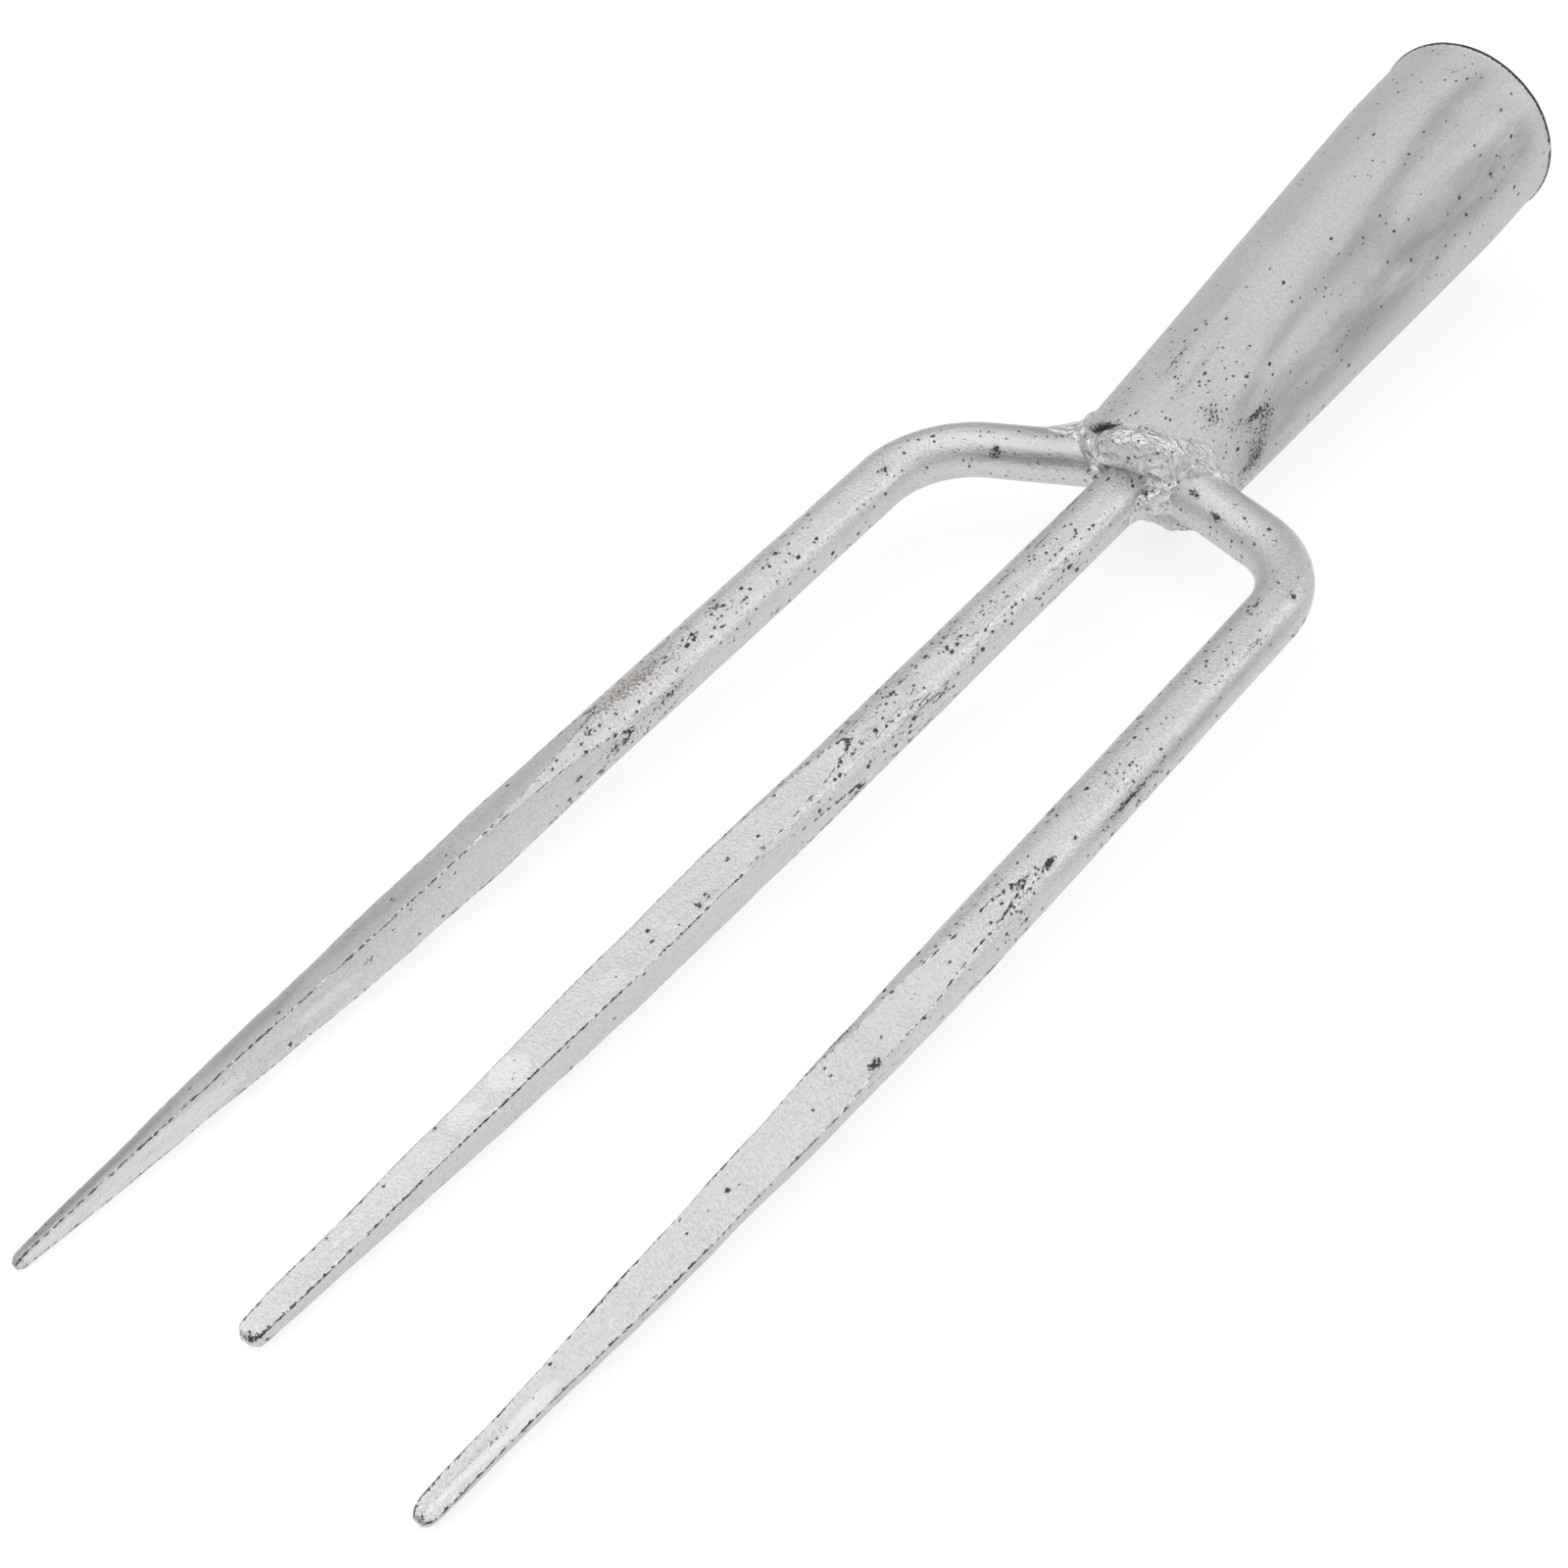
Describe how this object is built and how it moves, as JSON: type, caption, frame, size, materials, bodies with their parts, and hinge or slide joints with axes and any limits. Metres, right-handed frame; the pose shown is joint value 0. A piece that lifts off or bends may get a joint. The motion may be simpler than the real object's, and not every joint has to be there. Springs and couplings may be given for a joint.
{
  "type": "hay fork head",
  "caption": "Welded steel hay fork head: tapered handle socket, long forged tines with square blunt points, silver painted.",
  "frame": {"origin": "centre of the handle socket's mouth", "axes": "+Y along the socket's axis, out of its mouth; -Y runs to the tips; +X to the right tine; +Z to the side that the tines rise to"},
  "size_m": [0.109, 0.4151, 0.0448],
  "materials": {
    "socket_paint": "satin aluminium paint on a steel tube",
    "tine_paint": "satin aluminium paint on pitted forged bar",
    "weld_paint": "bright aluminium paint on rough weld metal"
  },
  "bodies": {
    "root": {"socket": "socket_paint", "left_tine": "tine_paint", "middle_tine": "tine_paint", "right_tine": "tine_paint", "front_weld": "weld_paint", "back_weld": "weld_paint", "left_crotch_weld": "weld_paint", "right_crotch_weld": "weld_paint"}
  },
  "joints": []
}
